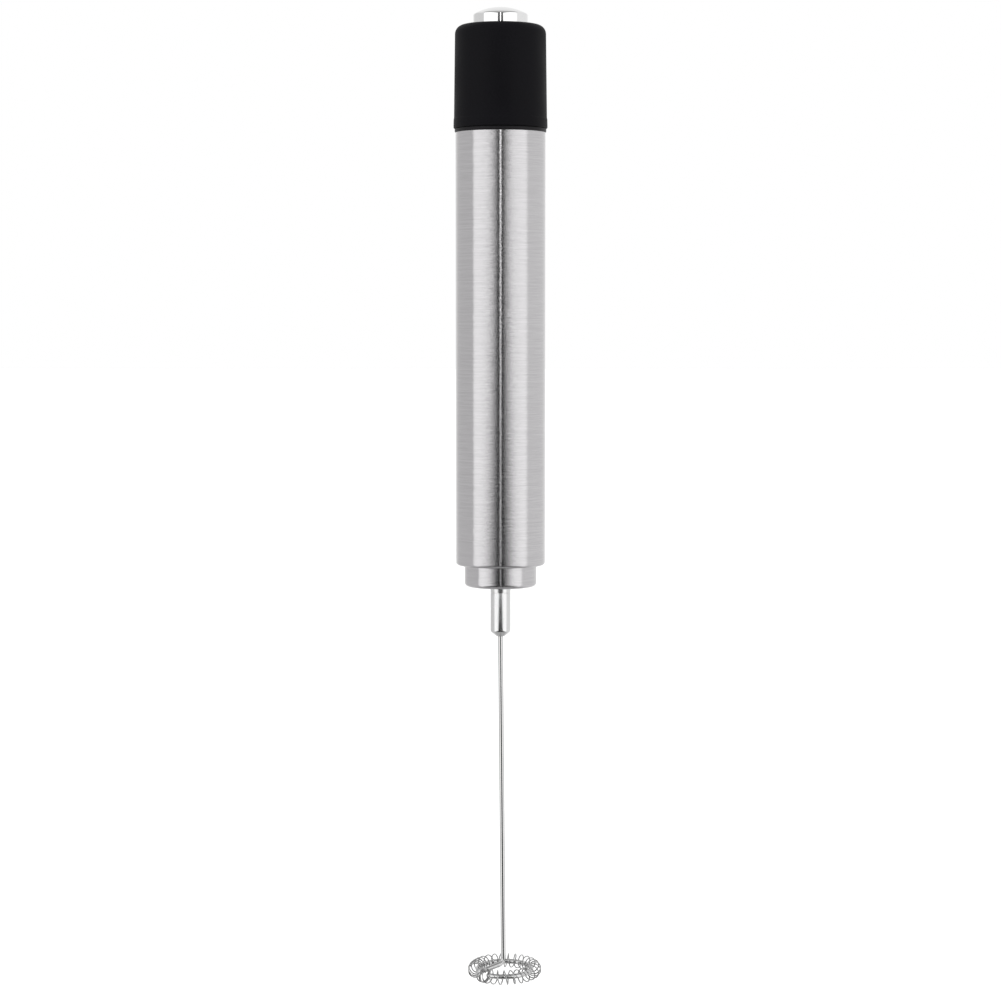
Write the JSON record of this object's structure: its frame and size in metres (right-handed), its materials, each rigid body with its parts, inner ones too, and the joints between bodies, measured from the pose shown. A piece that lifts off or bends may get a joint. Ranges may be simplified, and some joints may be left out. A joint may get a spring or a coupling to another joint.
{
  "type": "milk frother",
  "caption": "Battery milk frother: slim brushed steel handle with a black pull-off cap, chrome push button, chrome chuck and a wire hoop whisk that carries a coil spring.",
  "frame": {"origin": "on the axis, at the lower end of the handle's straight steel wall, just above its rolled edge", "axes": "+Z along the handle's axis towards the push button; the whisk hangs down along -Z; the picture looks along +Y with +X to the right"},
  "size_m": [0.0252, 0.0252, 0.2621],
  "materials": {
    "tube_steel": "fine brushed round the tube",
    "nose_steel": "finer brushed, nearly polished",
    "bright_chrome": "polished chrome plate",
    "whisk_steel": "drawn bright stainless wire",
    "cap_plastic": "fine satin black",
    "black_rubber": "dark, slightly shiny",
    "carrier_plastic": "plain black moulding",
    "mount_plastic": "plain dark grey moulding",
    "motor_steel": "zinc plated, satin",
    "white_nylon": "plain white moulding",
    "ferrite": "ground dark ceramic",
    "sintered_bronze": "oiled porous metal",
    "contact_brass": "pressed sheet, light tarnish",
    "copper": "bare copper",
    "enamelled_copper": "lacquered winding wire",
    "cell_wrap": "printed foil sleeve without any print",
    "spring_steel": "drawn spring wire",
    "bright_shaft": "ground steel",
    "core_iron": "stacked sheets",
    "base_plastic": "plain dark green moulding"
  },
  "bodies": {
    "handle": {"handle_tube": "tube_steel", "nose_collar": "nose_steel", "nose_seal": "black_rubber", "motor_mount": "mount_plastic", "motor_can": "motor_steel", "motor_end_bell": "white_nylon", "motor_magnets": "ferrite", "front_bush": "sintered_bronze", "rear_bush": "sintered_bronze", "motor_brushes": "contact_brass", "motor_terminals": "contact_brass", "battery_carrier": "carrier_plastic", "lower_contact": "contact_brass", "contact_strip": "contact_brass", "lower_cell": "cell_wrap", "upper_cell": "cell_wrap", "seal_ring": "black_rubber", "carrier_o_ring": "black_rubber"},
    "cap": {"battery_cap": "cap_plastic", "switch_base": "base_plastic", "contact_ring": "contact_brass", "cap_contact": "contact_brass", "battery_spring": "spring_steel", "return_spring": "spring_steel"},
    "button": {"push_button": "bright_chrome", "button_stem": "white_nylon", "bridge_contact": "contact_brass", "stem_clip": "spring_steel"},
    "spindle": {"motor_shaft": "bright_shaft", "armature_core": "core_iron", "armature_windings": "enamelled_copper", "commutator": "copper", "thrust_washers": "white_nylon", "chuck": "bright_chrome", "whisk_wire": "whisk_steel", "whisk_coil": "whisk_steel"}
  },
  "joints": [
    {"name": "cap_pull", "type": "slide", "parent": "handle", "child": "cap", "axis": [0, 0, 1], "range_m": [0, 0.03]},
    {"name": "button_press", "type": "slide", "parent": "cap", "child": "button", "axis": [0, 0, -1], "range_m": [0, 0.0016], "stiffness_N_per_m": 500, "springref_m": -0.004, "deforming": ["return_spring"]},
    {"name": "spindle_spin", "type": "hinge", "parent": "handle", "child": "spindle", "pos_m": [0, 0, 0], "axis": [0, 0, 1], "continuous": true}
  ]
}
